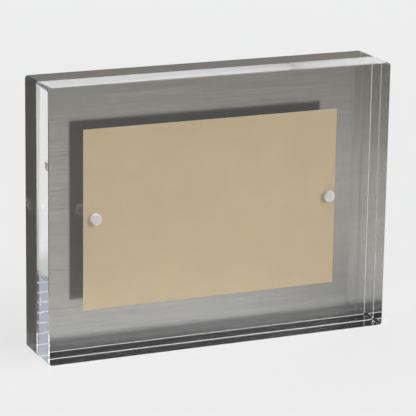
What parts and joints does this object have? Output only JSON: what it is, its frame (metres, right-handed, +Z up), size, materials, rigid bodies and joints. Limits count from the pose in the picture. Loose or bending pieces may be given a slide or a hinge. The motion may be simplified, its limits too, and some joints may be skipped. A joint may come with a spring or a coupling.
{
  "type": "picture frame",
  "caption": "Free-standing picture frame: two clear acrylic blocks held together by magnets round a small photo card, with a brushed grey sheet behind.",
  "frame": {"origin": "under the middle of the frame, on the surface that it stands on", "axes": "+X to the right seen from the front, +Y from the front to the back, +Z up"},
  "size_m": [0.2032, 0.037, 0.1536],
  "materials": {
    "clear_acrylic": "polished",
    "brushed_pewter": "satin",
    "card_stock": "matte",
    "nickel_plate": "satin",
    "white_epoxy": "satin"
  },
  "bodies": {
    "back": {"back_block": "clear_acrylic", "back_sheet": "brushed_pewter", "back_magnet_left": "nickel_plate", "back_glue_left": "white_epoxy", "back_magnet_right": "nickel_plate", "back_glue_right": "white_epoxy"},
    "front": {"front_block": "clear_acrylic", "front_magnet_left": "nickel_plate", "front_glue_left": "white_epoxy", "front_magnet_right": "nickel_plate", "front_glue_right": "white_epoxy"},
    "card": {"photo_card": "card_stock"}
  },
  "joints": [
    {"name": "front_block_pull", "type": "slide", "parent": "back", "child": "front", "axis": [0, -1, 0], "range_m": [0, 0.08]},
    {"name": "card_lift", "type": "slide", "parent": "back", "child": "card", "axis": [0, 0, 1], "range_m": [0, 0.13]}
  ]
}
